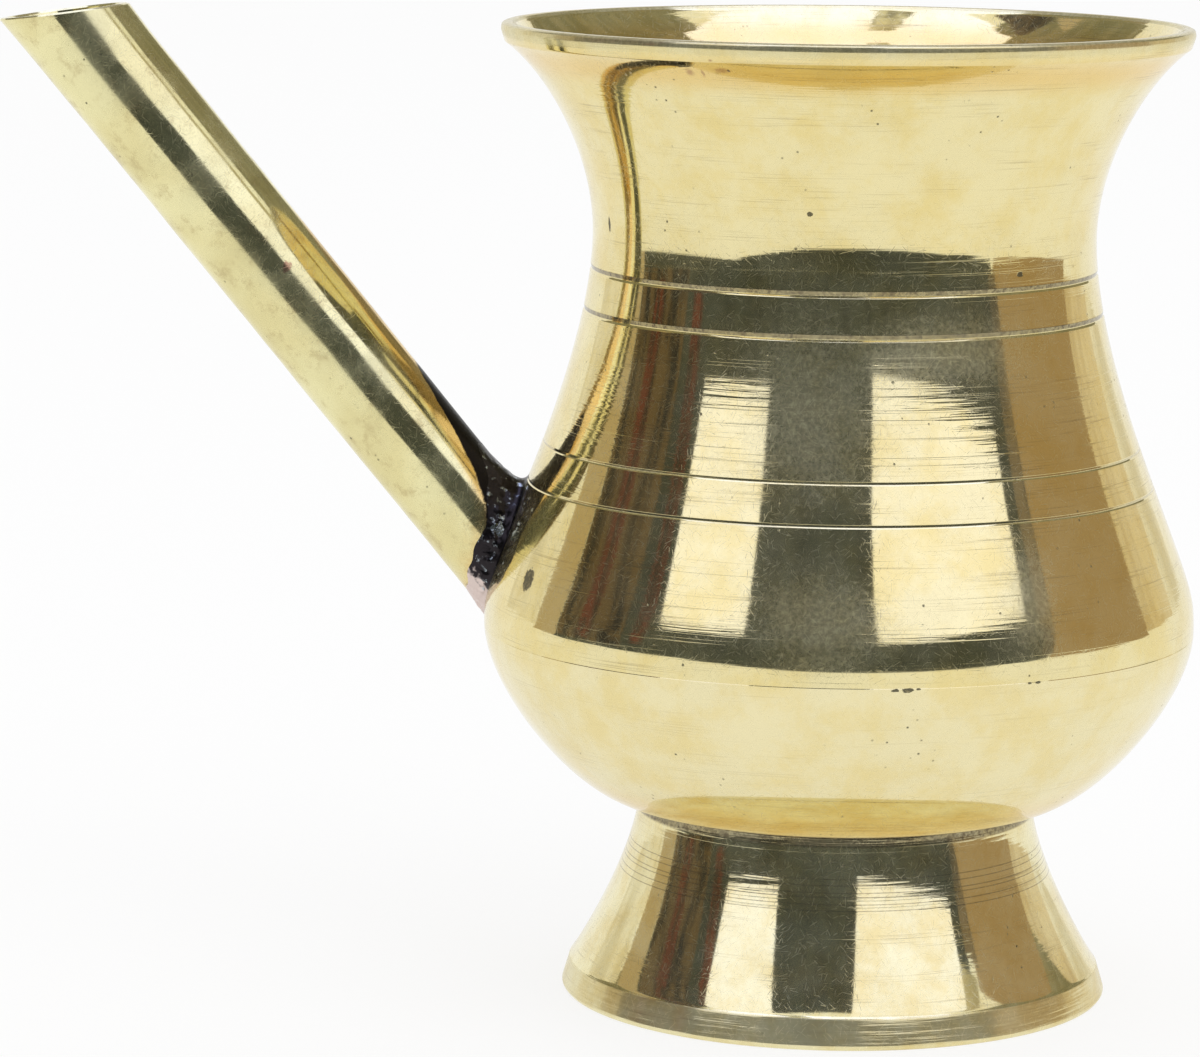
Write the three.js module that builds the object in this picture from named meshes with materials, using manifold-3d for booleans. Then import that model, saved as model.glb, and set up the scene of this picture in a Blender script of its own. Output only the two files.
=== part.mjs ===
// A spouted brass lota: a turned two-part body on a flared foot, with a straight tube for a spout.
// Millimetres, +Z up. The origin is on the table, under the middle of the plan outline.
import * as THREE from "three";
import { mergeVertices } from "three/addons/utils/BufferGeometryUtils.js";
import Module from "manifold-3d";

const wasm = await Module();
wasm.setup();

// Driving dimensions of the turned body, as heights above the table and radii about the vessel's axis.
// A reach is how far the handle of a curve runs from its end, and a slope is in degrees from upright.
const HEIGHT = 100;
const WALL = 1.3;
const LIP = {
  radius: 35.2,
  underRadius: 34.85,
  edge: 0.7,
  edgeLean: 0.08,
  crown: 0.55,
  flat: 0.6,
  face: 1.95,
  thick: 1.6,
  innerEdge: 0.45,
  slope: 55.1,
  reach: 4.8,
};
const WAIST = { radius: 25.7, z: 78.6, reachUp: 8.5, reachDown: 8.1 };
const SHOULDER = { radius: 31.65, z: 54.4, slope: 21.1, reachUp: 5.4, reachDown: 13.2 };
const BELLY = { radius: 36.55, z: 38.4, reachUp: 3.7, reachDown: 6.5 };
const BOWL_SEAT = { radius: 21.9, z: 20.3, slope: 84.7, reach: 5.4 };
const BOWL_FLOOR = { radius: 18.8, drop: 1.2 };
const GROOVES = [
  { z: 75.0, above: 0.42, below: 0.2, depth: 0.15 },
  { z: 70.8, above: 0.42, below: 0.2, depth: 0.15 },
  { z: 57.2, above: 0.26, below: 0.14, depth: 0.09 },
  { z: 53.2, above: 0.26, below: 0.14, depth: 0.09 },
];
const LAP = { z: 38.2, height: 2.4, radius: 35.75, film: 0.1 };

// Driving dimensions of the foot and of the braze line over it
const FOOT = {
  topRadius: 20.4,
  topSlope: 3.8,
  topReach: 5.0,
  sweepRadius: 27.2,
  sweepSlope: 33.0,
  sweepReach: 4.1,
  radius: 28.2,
  bandTop: 3.3,
  ledge: 0.2,
  wall: 1.5,
  bevel: 0.35,
  bevelTop: 0.45,
};
const FOOT_BRAZE = { height: 0.45, reach: 0.55 };

// Driving dimensions of the spout, a tapered tube that leans out from the belly
const SPOUT = {
  tilt: 39.4,
  rootRadius: 5.35,
  neckRadius: 5.55,
  tipRadius: 5.7,
  flareLength: 6,
  wall: 0.9,
  axisRadius: 35.4,
  axisZ: 46.0,
  mouthSlope: 7.8,
  mouthZ: 100.4,
  gap: 0.3,
};
const SPOUT_BRAZE = {
  climbTop: 6.8,
  climbSide: 4.0,
  climbBottom: 2.4,
  skirtTop: 2.1,
  skirtBottom: 0.8,
  gap: 0.3,
};

const LATHE_STEPS = 64;
const TUBE_STEPS = 40;
const BRAZE_STEPS = 40;

const materials = {
  body: new THREE.MeshStandardMaterial({ color: 0xd9bd6a, metalness: 1, roughness: 0.2 }),
  foot: new THREE.MeshStandardMaterial({ color: 0xd6b966, metalness: 1, roughness: 0.24 }),
  spout: new THREE.MeshStandardMaterial({ color: 0xd8c878, metalness: 1, roughness: 0.22 }),
  braze: new THREE.MeshStandardMaterial({ color: 0x3a3632, metalness: 0.8, roughness: 0.45 }),
};

const radians = THREE.MathUtils.degToRad;
const at = (r, z) => new THREE.Vector2(r, z);

// A point some way down a slope, given in degrees from upright, or up it for a negative distance
function along(start, slope, distance) {
  return start.clone().add(at(Math.sin(radians(slope)), -Math.cos(radians(slope))).multiplyScalar(distance));
}

// Outer curves of the turned shell, from the lip down to the bowl's seat
const lipUnder = at(LIP.underRadius, HEIGHT - LIP.face);
const waist = at(WAIST.radius, WAIST.z);
const cone = at(SHOULDER.radius, SHOULDER.z);
const belly = at(BELLY.radius, BELLY.z);
const seat = at(BOWL_SEAT.radius, BOWL_SEAT.z);
const flare = new THREE.CubicBezierCurve(
  lipUnder,
  along(lipUnder, -LIP.slope, LIP.reach),
  along(waist, 0, -WAIST.reachUp),
  waist,
);
const shoulder = new THREE.CurvePath();
shoulder.add(
  new THREE.CubicBezierCurve(
    waist,
    along(waist, 0, WAIST.reachDown),
    along(cone, SHOULDER.slope, -SHOULDER.reachUp),
    cone,
  ),
);
shoulder.add(
  new THREE.CubicBezierCurve(
    cone,
    along(cone, SHOULDER.slope, SHOULDER.reachDown),
    along(belly, 0, -BELLY.reachUp),
    belly,
  ),
);
const bowl = new THREE.CubicBezierCurve(
  belly,
  along(belly, 0, BELLY.reachDown),
  along(seat, -BOWL_SEAT.slope, -BOWL_SEAT.reach),
  seat,
);
const footTop = at(FOOT.topRadius, BOWL_SEAT.z - FOOT_BRAZE.height);
const footLow = at(FOOT.sweepRadius, FOOT.bandTop);
const footSweep = new THREE.CubicBezierCurve(
  footTop,
  along(footTop, FOOT.topSlope, FOOT.topReach),
  along(footLow, FOOT.sweepSlope, -FOOT.sweepReach),
  footLow,
);

// Point of a curve at a height, for curves that only fall
function pointAtHeight(curve, z) {
  let low = 0;
  let high = 1;
  for (let i = 0; i < 40; i++) {
    const middle = (low + high) / 2;
    if (curve.getPoint(middle).y > z) low = middle;
    else high = middle;
  }
  return curve.getPoint(low);
}

// Points of a curve moved sideways, towards the axis for a positive distance
function inset(curve, steps, distance, from = 0, to = 1) {
  const points = [];
  for (let i = 0; i <= steps; i++) {
    const t = from + ((to - from) * i) / steps;
    const tangent = curve.getTangent(t);
    points.push(curve.getPoint(t).add(at(tangent.y, -tangent.x).multiplyScalar(distance)));
  }
  return points;
}

// Turns a closed profile about the vertical axis
function turned(profile, steps = LATHE_STEPS) {
  const closed = profile[0].x === 0 ? profile : [...profile, profile[0].clone()];
  return new THREE.LatheGeometry(closed, steps).rotateX(Math.PI / 2);
}

// A geometry as a solid that can be cut
function solidOf(geometry) {
  const bare = geometry.clone();
  bare.deleteAttribute("normal");
  bare.deleteAttribute("uv");
  const merged = mergeVertices(bare, 1e-4);
  return new wasm.Manifold(
    new wasm.Mesh({
      numProp: 3,
      vertProperties: new Float32Array(merged.attributes.position.array),
      triVerts: new Uint32Array(merged.index.array),
    }),
  );
}

// A cut solid as a geometry again
function geometryOf(solid) {
  const mesh = solid.getMesh();
  const geometry = new THREE.BufferGeometry();
  geometry.setAttribute("position", new THREE.BufferAttribute(new Float32Array(mesh.vertProperties), 3));
  geometry.setIndex(new THREE.BufferAttribute(new Uint32Array(mesh.triVerts), 1));
  geometry.computeVertexNormals();
  return geometry;
}

// Outer radius of the shell at a height between the foot and the lip
function shellRadius(z) {
  if (z >= WAIST.z) return pointAtHeight(flare, z).x;
  if (z >= BELLY.z) return pointAtHeight(shoulder, z).x;
  return pointAtHeight(bowl, z).x;
}

// The outer line of the upper body, from the lap seam up, with its turned grooves
function grooveLine() {
  const heights = [LAP.z, BELLY.z];
  for (let i = 1; i <= 14; i++) heights.push(shoulder.getPoint(1 - i / 14).y);
  for (let i = 1; i < 10; i++) heights.push(flare.getPoint(1 - i / 10).y);
  const plain = heights.filter((z) => GROOVES.every((g) => Math.abs(z - g.z) > 2 * g.above));
  const points = plain.map((z) => at(shellRadius(z), z));
  for (const { z, above, below, depth } of GROOVES) {
    points.push(at(shellRadius(z - below), z - below));
    points.push(at(shellRadius(z) - depth, z));
    points.push(at(shellRadius(z + above), z + above));
  }
  return points.sort((a, b) => a.y - b.y);
}

// The upper body: shoulder, waist, flare and lip, with the tongue that drops inside the bowl
function upperBodyGeometry() {
  const innerLip = LIP.radius - LIP.thick;
  const edgeFoot = HEIGHT - LIP.edge;
  const lip = [
    lipUnder,
    at(LIP.radius, edgeFoot),
    at(LIP.radius - LIP.edgeLean, HEIGHT - LIP.edge * 0.25),
    at(LIP.radius - LIP.crown, HEIGHT),
    at(LIP.radius - LIP.crown - LIP.flat, HEIGHT),
    at(innerLip, HEIGHT - LIP.innerEdge),
  ];
  const inside = [...inset(flare, 8, WALL, 0.14, 1), ...inset(shoulder, 12, WALL, 0.08, 1)];
  const tongue = [
    at(LAP.radius - WALL / 2, LAP.z - LAP.height),
    at(LAP.radius, LAP.z - LAP.height),
    at(LAP.radius, LAP.z),
  ];
  return turned([...grooveLine(), ...lip, ...inside, ...tongue]);
}

// The lower bowl: from its dished floor up to the rebate that takes the upper body's tongue
function lowerBowlGeometry() {
  const rebate = LAP.radius + LAP.film;
  const rebateFloor = LAP.z - LAP.height - LAP.film;
  const under = BOWL_SEAT.z - BOWL_FLOOR.drop;
  const outside = [];
  for (let i = 0; i <= 9; i++) outside.push(bowl.getPoint(1 - i / 9));
  const underLap = outside.filter((p) => p.y < LAP.z - 0.5);
  const inside = inset(bowl, 9, WALL, 0, 0.96).filter((p) => p.y < rebateFloor - 0.3);
  return turned([
    at(0, under),
    at(BOWL_FLOOR.radius * 0.6, under + BOWL_FLOOR.drop * 0.25),
    at(BOWL_FLOOR.radius, BOWL_SEAT.z),
    ...underLap,
    at(shellRadius(LAP.z - LAP.film), LAP.z - LAP.film),
    at(rebate, LAP.z - LAP.film),
    at(rebate, rebateFloor),
    at(shellRadius(rebateFloor) - WALL, rebateFloor),
    ...inside,
    at(BOWL_FLOOR.radius * 0.6, under + WALL + BOWL_FLOOR.drop * 0.25),
    at(0, under + WALL),
  ]);
}

// The film of braze in the lap between the two halves of the body
function bellyBrazeGeometry() {
  return turned([
    at(LAP.radius, LAP.z - LAP.height),
    at(LAP.radius + LAP.film, LAP.z - LAP.height),
    at(LAP.radius + LAP.film, LAP.z - LAP.film),
    at(shellRadius(LAP.z - LAP.film), LAP.z - LAP.film),
    at(shellRadius(LAP.z), LAP.z),
    at(LAP.radius, LAP.z),
  ]);
}

// The foot: a hollow flared cone with a plain band at its base, open below
function footGeometry() {
  const outside = [];
  for (let i = 0; i <= 9; i++) outside.push(footSweep.getPoint(1 - i / 9));
  const inside = inset(footSweep, 7, FOOT.wall, 0, 1);
  return turned([
    at(FOOT.radius - FOOT.wall - FOOT.bevel, 0),
    at(FOOT.radius - FOOT.bevel, 0),
    at(FOOT.radius, FOOT.bevelTop),
    at(FOOT.sweepRadius + FOOT.ledge, FOOT.bandTop - FOOT.ledge),
    ...outside,
    ...inside,
  ]);
}

// The ring of braze in the corner between the bowl and the foot's top edge
function footBrazeGeometry() {
  const top = BOWL_SEAT.z;
  const low = top - FOOT_BRAZE.height;
  return turned([
    at(FOOT.topRadius - FOOT.wall, low),
    at(FOOT.topRadius, low),
    at(FOOT.topRadius + FOOT_BRAZE.reach * 0.4, low + FOOT_BRAZE.height * 0.55),
    at(FOOT.topRadius + FOOT_BRAZE.reach, top),
    at(FOOT.topRadius - FOOT.wall, top - 0.02),
  ]);
}

// The spout's own frame: +Z runs up the tube, and the origin is on its axis, just off the wall
const spoutFrame = new THREE.Group();
spoutFrame.position.set(-SPOUT.axisRadius, 0, SPOUT.axisZ);
spoutFrame.rotation.y = -radians(SPOUT.tilt);
spoutFrame.updateMatrix();

const mouthAngle = radians(SPOUT.tilt - SPOUT.mouthSlope);
const spoutLength = (SPOUT.mouthZ - SPOUT.axisZ) / Math.cos(radians(SPOUT.tilt));
const rootStart = -12;

// The body's outer form as a solid, swollen by a gap
function bodyBlank(gap) {
  const outline = [at(0, BOWL_SEAT.z)];
  for (let i = 0; i <= 12; i++) outline.push(bowl.getPoint(1 - i / 12).add(at(gap, 0)));
  for (let i = 1; i <= 12; i++) outline.push(shoulder.getPoint(1 - i / 12).add(at(gap, 0)));
  return solidOf(turned([...outline, at(0, WAIST.z)]));
}

// The spout: a tapered tube, coped to sit on the body, flared a little and cut almost level at its mouth
function spoutGeometry() {
  const outside = [
    at(SPOUT.rootRadius, rootStart),
    at(SPOUT.rootRadius, 0),
    at(SPOUT.neckRadius, spoutLength - SPOUT.flareLength),
    at(SPOUT.tipRadius, spoutLength),
  ];
  const bore = outside.map((p) => at(p.x - SPOUT.wall, p.y)).reverse();
  const tube = turned([...outside, ...bore], TUBE_STEPS);
  const mouthRise = -Math.tan(mouthAngle);
  const place = tube.attributes.position;
  for (let i = 0; i < place.count; i++) {
    if (place.getZ(i) > spoutLength - 1) place.setZ(i, place.getZ(i) + place.getX(i) * mouthRise);
  }
  return geometryOf(solidOf(tube.applyMatrix4(spoutFrame.matrix)).subtract(bodyBlank(SPOUT.gap)));
}

// The hole under the spout, the size of its bore, as a solid in the vessel's frame
function spoutHole() {
  const bore = SPOUT.rootRadius - SPOUT.wall;
  const hole = new THREE.CylinderGeometry(bore, bore, 30, TUBE_STEPS);
  return solidOf(hole.rotateX(Math.PI / 2).applyMatrix4(spoutFrame.matrix));
}

// How far up a line beside the spout's axis the line leaves the body, with the braze's gap kept
function leavesBody(radius, angle) {
  const point = new THREE.Vector3();
  let low = -16;
  let high = 16;
  for (let i = 0; i < 40; i++) {
    const along = (low + high) / 2;
    point.set(radius * Math.cos(angle), radius * Math.sin(angle), along).applyMatrix4(spoutFrame.matrix);
    const wall = shellRadius(point.z) + SPOUT_BRAZE.gap;
    if (Math.hypot(point.x, point.y) < wall) low = along;
    else high = along;
  }
  return low;
}

// The braze that holds the spout: a lumpy fillet, deep in the crotch and thin underneath
function spoutBrazeGeometry() {
  const section = [0, 0.25, 0.5, 0.75, 1];
  const ringSize = section.length * 2;
  const start = SPOUT.rootRadius + SPOUT_BRAZE.gap;
  const positions = [];
  const faces = [];
  for (let i = 0; i < BRAZE_STEPS; i++) {
    const angle = (i / BRAZE_STEPS) * 2 * Math.PI;
    const crotch = (1 + Math.cos(angle)) / 2;
    const side = Math.sin(angle) ** 2;
    const lumps = 1 + 0.07 * Math.sin(3 * angle + 0.6) + 0.05 * Math.sin(7 * angle);
    const ends = SPOUT_BRAZE.climbTop * crotch + SPOUT_BRAZE.climbBottom * (1 - crotch);
    const climb = (ends * (1 - side) + SPOUT_BRAZE.climbSide * side) * lumps;
    const skirt = SPOUT_BRAZE.skirtBottom + (SPOUT_BRAZE.skirtTop - SPOUT_BRAZE.skirtBottom) * crotch ** 3;
    const line = section.map((t) => ({ radius: start + skirt * t ** 2, rise: 0.25 + climb * (1 - t) ** 2 }));
    const under = [...section].reverse().map((t) => ({ radius: start + skirt * t ** 2, rise: 0 }));
    for (const { radius, rise } of [...line, ...under]) {
      positions.push(radius * Math.cos(angle), radius * Math.sin(angle), leavesBody(radius, angle) + rise);
    }
  }
  for (let i = 0; i < BRAZE_STEPS; i++) {
    const next = (i + 1) % BRAZE_STEPS;
    for (let j = 0; j < ringSize; j++) {
      const k = (j + 1) % ringSize;
      const a = i * ringSize + j;
      const b = next * ringSize + j;
      const c = next * ringSize + k;
      const d = i * ringSize + k;
      faces.push(a, c, b, a, d, c);
    }
  }
  const geometry = new THREE.BufferGeometry();
  geometry.setAttribute("position", new THREE.BufferAttribute(new Float32Array(positions), 3));
  geometry.setIndex(faces);
  geometry.computeVertexNormals();
  return geometry;
}

function piece(name, geometry, material) {
  const mesh = new THREE.Mesh(geometry, material);
  mesh.name = name;
  return mesh;
}

const vessel = new THREE.Group();
vessel.add(
  piece("upper_body", geometryOf(solidOf(upperBodyGeometry()).subtract(spoutHole())), materials.body),
  piece("lower_bowl", lowerBowlGeometry(), materials.body),
  piece("belly_braze", bellyBrazeGeometry(), materials.body),
  piece("foot", footGeometry(), materials.foot),
  piece("foot_braze", footBrazeGeometry(), materials.braze),
);
vessel.add(piece("spout_tube", spoutGeometry(), materials.spout));
vessel.add(piece("spout_braze", spoutBrazeGeometry().applyMatrix4(spoutFrame.matrix), materials.braze));

// The vessel stands so that the origin is under the middle of its plan outline
vessel.updateMatrixWorld(true);
const outline = new THREE.Box3().setFromObject(vessel, true);
vessel.position.x = -(outline.min.x + outline.max.x) / 2;

const lota = new THREE.Group();
lota.add(vessel);
export default lota;
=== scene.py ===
"""A spouted brass lota, turned, polished and brazed, on a pale table in a studio."""
import math

import bmesh
import bpy
from mathutils import Matrix, Vector, noise
from mathutils.geometry import interpolate_bezier


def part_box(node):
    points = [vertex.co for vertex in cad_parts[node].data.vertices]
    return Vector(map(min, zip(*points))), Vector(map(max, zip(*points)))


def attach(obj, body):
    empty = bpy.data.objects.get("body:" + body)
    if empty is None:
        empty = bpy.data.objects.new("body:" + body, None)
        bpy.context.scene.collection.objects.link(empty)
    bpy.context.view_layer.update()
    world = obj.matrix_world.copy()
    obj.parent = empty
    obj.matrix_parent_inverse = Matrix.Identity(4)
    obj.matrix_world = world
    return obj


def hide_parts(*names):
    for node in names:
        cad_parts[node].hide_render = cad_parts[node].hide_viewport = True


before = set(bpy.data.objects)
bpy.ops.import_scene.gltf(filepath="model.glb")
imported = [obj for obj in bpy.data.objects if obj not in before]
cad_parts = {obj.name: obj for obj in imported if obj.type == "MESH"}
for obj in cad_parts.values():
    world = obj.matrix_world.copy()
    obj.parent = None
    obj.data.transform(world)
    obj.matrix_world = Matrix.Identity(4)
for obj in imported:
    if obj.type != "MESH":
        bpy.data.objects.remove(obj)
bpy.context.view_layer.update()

# Sizes are in millimetres, and a mesh is made in metres
MM = 0.001
FOOT_LOW, FOOT_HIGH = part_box("foot")
AXIS_X = (FOOT_LOW.x + FOOT_HIGH.x) / 2 / MM
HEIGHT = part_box("upper_body")[1].z / MM
AXIS = Vector((AXIS_X, 0, 0))

# The turned body, as radii about its axis and heights above the table
WALL = 1.3
LIP_RADIUS, LIP_UNDER_RADIUS = 35.2, 34.85
LIP_FACE, LIP_THICK = 1.95, 1.6
WAIST_RADIUS, WAIST_Z = 25.7, 78.6
CONE_RADIUS, CONE_Z = 31.65, 54.4
BELLY_RADIUS, BELLY_Z = 36.53, 38.4
SEAT_RADIUS, SEAT_Z = 21.9, 20.3
FLOOR_RADIUS, FLOOR_DROP = 18.8, 1.2
SEAM_Z, LAP_HEIGHT, LAP_RADIUS, LAP_FILM = 38.2, 2.4, 35.75, 0.1

# The lip's section over the rim, as distances in from the lip's radius and down from the rim
LIP_SECTION = [(0, 0.7), (0.08, 0.18), (0.5, 0), (1.15, 0), (LIP_THICK, 0.45)]
LIP_INSIDE_START, LIP_EASING = 2.4, 0.16

# The bowl's edge at the seam, as distances in from the body's outside and down from the seam
SEAM_SECTION = [(0.01, 0.09), (0.04, 0.03), (0.04, 0)]

# A point of the dished floor, as shares of its radius and its drop
DISH_SHARES = (0.6, 0.25)

# Slopes of the turned lines, in degrees from upright, and how far each curve's handles reach along them
LIP_SLOPE, LIP_REACH = -55.1, 4.8
WAIST_REACH_UP, WAIST_REACH_DOWN = 8.5, 8.1
CONE_SLOPE, CONE_REACH_UP, CONE_REACH_DOWN = 21.1, 5.4, 13.2
BELLY_REACH_UP, BELLY_REACH_DOWN = 3.7, 6.5
SEAT_SLOPE, SEAT_REACH = -84.7, 5.4
FOOT_TOP_SLOPE, FOOT_TOP_REACH = 3.8, 5.0
SWEEP_SLOPE, SWEEP_REACH = 33.0, 4.1

# Steps round a turned piece, how far it is out of true, and the sharpest fold that stays smooth
TURN_STEPS, OUT_OF_TRUE, CREASE = 288, 0.03, math.radians(12)

# The turned grooves: height, reach above it, reach below it, depth
GROOVES = [
    (75.0, 0.42, 0.2, 0.15),
    (70.8, 0.42, 0.2, 0.15),
    (57.2, 0.2, 0.12, 0.06),
    (53.2, 0.2, 0.12, 0.06),
]

# The foot
FOOT_TOP_RADIUS, SWEEP_RADIUS, FOOT_RADIUS = 20.4, 27.2, 28.2
BAND_TOP, BAND_LEDGE = 3.3, 0.2
FOOT_BEVEL, FOOT_BEVEL_HEIGHT, FOOT_EASING = 0.35, 0.45, 0.2
FOOT_WALL = 1.5
FOOT_BRAZE, FOOT_BRAZE_REACH, FOOT_BRAZE_OUT_OF_TRUE = 0.45, 0.55, 0.1

# The spout, a tapered tube
SPOUT_TILT, MOUTH_SLOPE = math.radians(39.4), math.radians(7.8)
SPOUT_ROOT_RADIUS, SPOUT_NECK_RADIUS, SPOUT_TIP_RADIUS = 5.35, 5.55, 5.7
SPOUT_FLARE, FLARE_POWER, SPOUT_WALL, SPOUT_EASING = 6.0, 1.4, 0.9, 0.2
SPOUT_AXIS_RADIUS, SPOUT_AXIS_Z, MOUTH_Z = 35.4, 46.0, 100.4
SPOUT_LENGTH = (MOUTH_Z - SPOUT_AXIS_Z) / math.cos(SPOUT_TILT)

# The torch's soot and amber tint: their climb all round the tube, what the crotch adds, and its spread
SOOT_CLIMB = (2.2, 15, 0.73)
AMBER_CLIMB = (3, 34, 0.7)

# The braze round the spout's root: its climb up the tube and its skirt over the body
CLIMB_TOP, CLIMB_SIDE, CLIMB_BOTTOM = 6.6, 2.9, 3.0
SKIRT_TOP, SKIRT_BOTTOM = 2.0, 0.35

# The spout's frame: its Z axis runs up the tube, and its X axis points into the crotch over the spout
SPOUT_FRAME = (
    Matrix.Translation((AXIS_X - SPOUT_AXIS_RADIUS, 0, SPOUT_AXIS_Z))
    @ Matrix.Rotation(-SPOUT_TILT, 4, "Y")
)


def spout_point(radius, angle, up):
    """A point of the spout, by its distance from the tube's axis, its angle and how far up it is."""
    return SPOUT_FRAME @ Vector((radius * math.cos(angle), radius * math.sin(angle), up))


def bezier(start, start_handle, end_handle, end, points):
    """Points of a cubic curve in the plane of the turned profile, as (radius, height)."""
    corners = [Vector((p[0], p[1], 0)) for p in (start, start_handle, end_handle, end)]
    return [(p.x, p.y) for p in interpolate_bezier(*corners, points)]


def along(start, slope, distance):
    """A point some way down a slope, given in degrees from upright, or up it for a negative distance."""
    turn = math.radians(slope)
    return (start[0] + distance * math.sin(turn), start[1] - distance * math.cos(turn))


LIP_UNDER = (LIP_UNDER_RADIUS, HEIGHT - LIP_FACE)
WAIST = (WAIST_RADIUS, WAIST_Z)
CONE = (CONE_RADIUS, CONE_Z)
BELLY = (BELLY_RADIUS, BELLY_Z)
SEAT = (SEAT_RADIUS, SEAT_Z)
FOOT_TOP = (FOOT_TOP_RADIUS, SEAT_Z - FOOT_BRAZE)
FOOT_LOW_EDGE = (SWEEP_RADIUS, BAND_TOP)
FLARE = bezier(
    LIP_UNDER, along(LIP_UNDER, LIP_SLOPE, LIP_REACH), along(WAIST, 0, -WAIST_REACH_UP), WAIST, points=44,
)
SHOULDER = bezier(
    WAIST, along(WAIST, 0, WAIST_REACH_DOWN), along(CONE, CONE_SLOPE, -CONE_REACH_UP), CONE, points=34,
) + bezier(
    CONE, along(CONE, CONE_SLOPE, CONE_REACH_DOWN), along(BELLY, 0, -BELLY_REACH_UP), BELLY, points=36,
)[1:]
BOWL = bezier(
    BELLY, along(BELLY, 0, BELLY_REACH_DOWN), along(SEAT, SEAT_SLOPE, -SEAT_REACH), SEAT, points=56,
)
FOOT_SWEEP = bezier(
    FOOT_TOP, along(FOOT_TOP, FOOT_TOP_SLOPE, FOOT_TOP_REACH),
    along(FOOT_LOW_EDGE, SWEEP_SLOPE, -SWEEP_REACH), FOOT_LOW_EDGE, points=60,
)


def radius_at(line, z):
    """Radius of a falling profile line at a height."""
    for (r0, z0), (r1, z1) in zip(line, line[1:]):
        if z1 <= z <= z0:
            return r1 + (r0 - r1) * (z - z1) / max(z0 - z1, 1e-9)
    return line[0][0] if z > line[0][1] else line[-1][0]


def shell_radius(z):
    """Outer radius of the body at a height between the foot and the lip."""
    if z >= WAIST_Z:
        return radius_at(FLARE, z)
    if z >= BELLY_Z:
        return radius_at(SHOULDER, z)
    return radius_at(BOWL, z)


def inset(line, distance):
    """A profile line moved towards the axis by a distance, across its own slope."""
    moved = []
    for i, (r, z) in enumerate(line):
        before, after = line[max(i - 1, 0)], line[min(i + 1, len(line) - 1)]
        way = Vector((after[0] - before[0], after[1] - before[1])).normalized()
        moved.append((r + way.y * distance, z - way.x * distance))
    return moved


def eased(points, reach):
    """A line with its inner corners rounded off, from a reach before each to a reach after it."""
    steps, most_of_a_side = 8, 0.45
    line = [points[0]]
    for before, corner, after in zip(points, points[1:], points[2:]):
        before, corner, after = Vector(before), Vector(corner), Vector(after)
        start, end = (
            corner + (side - corner).normalized() * min(reach, (side - corner).length * most_of_a_side)
            for side in (before, after)
        )
        for i in range(steps + 1):
            t = i / steps
            line.append(tuple(start * (1 - t) ** 2 + corner * 2 * t * (1 - t) + end * t ** 2))
    return line + [points[-1]]


class Nodes:
    """A node tree, of a material or of Geometry Nodes, with one method that adds any node."""

    def __init__(self, tree):
        self.tree = tree

    def node(self, kind, settings=None, output=0, **inputs):
        made = self.tree.nodes.new(kind)
        for name, value in (settings or {}).items():
            if name == "stops":
                self.set_stops(made.color_ramp.elements, value)
            else:
                setattr(made, name, value)
        for name, value in inputs.items():
            key = int(name[1:]) if name[1:].isdigit() else name.replace("_", " ")
            if isinstance(value, Wire):
                self.tree.links.new(value.socket, made.inputs[key])
            else:
                made.inputs[key].default_value = value
        return Wire(self, made.outputs[output]) if len(made.outputs) else None

    def set_stops(self, elements, stops):
        """Sets a colour ramp's stops, each a place and a colour."""
        while len(elements) < len(stops):
            elements.new(0.5)
        for element, (place, colour) in zip(elements, stops):
            element.position = place
            element.color = (*colour, 1)

    def vector(self, operation, first, second=(0, 0, 0), output=0):
        return self.node("ShaderNodeVectorMath", {"operation": operation}, output, n0=first, n1=second)

    def mix(self, factor, first, second):
        """A colour between two colours."""
        first, second = ((*c, 1) if isinstance(c, tuple) else c for c in (first, second))
        return self.node("ShaderNodeMix", {"data_type": "RGBA"}, 2, n0=factor, n6=first, n7=second)

    def noise(self, place, size, detail=2.0, roughness=0.5, output=0):
        """Cloudy noise whose lumps have about a given size, in metres."""
        grain = {"Scale": 1 / size, "Detail": detail, "Roughness": roughness}
        return self.node("ShaderNodeTexNoise", None, output, Vector=place, **grain)

    def combine(self, x, y, z):
        return self.node("ShaderNodeCombineXYZ", X=x, Y=y, Z=z)

    def mark(self, name):
        """A value that the points of a mesh carry."""
        return self.node("ShaderNodeAttribute", {"attribute_name": name}, "Fac")

    def relief(self, height, unit=0.001):
        """Relief from a height, in a unit of a given number of millimetres."""
        return self.node("ShaderNodeBump", Strength=1.0, Distance=unit * MM, Height=height)

    def finish(self, shader):
        """Ends a material in a shader."""
        self.node("ShaderNodeOutputMaterial", Surface=shader)

    def metal(self, tone, rough, bump):
        inputs = {"Base_Color": tone, "Metallic": 1.0, "Roughness": rough, "Normal": bump}
        return self.node("ShaderNodeBsdfPrincipled", **inputs)

    def hazy_metal(self, tone, haze, rough, bump, grey=0.3):
        """Ends a material in polished metal with some haze, partly grey, over its reflections."""
        dull = self.mix(grey, tone, GREY_HAZE)
        sharp, blurred = self.metal(tone, rough, bump), self.metal(dull, HAZE_ROUGHNESS, bump)
        self.finish(self.node("ShaderNodeMixShader", n0=haze, n1=sharp, n2=blurred))


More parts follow.
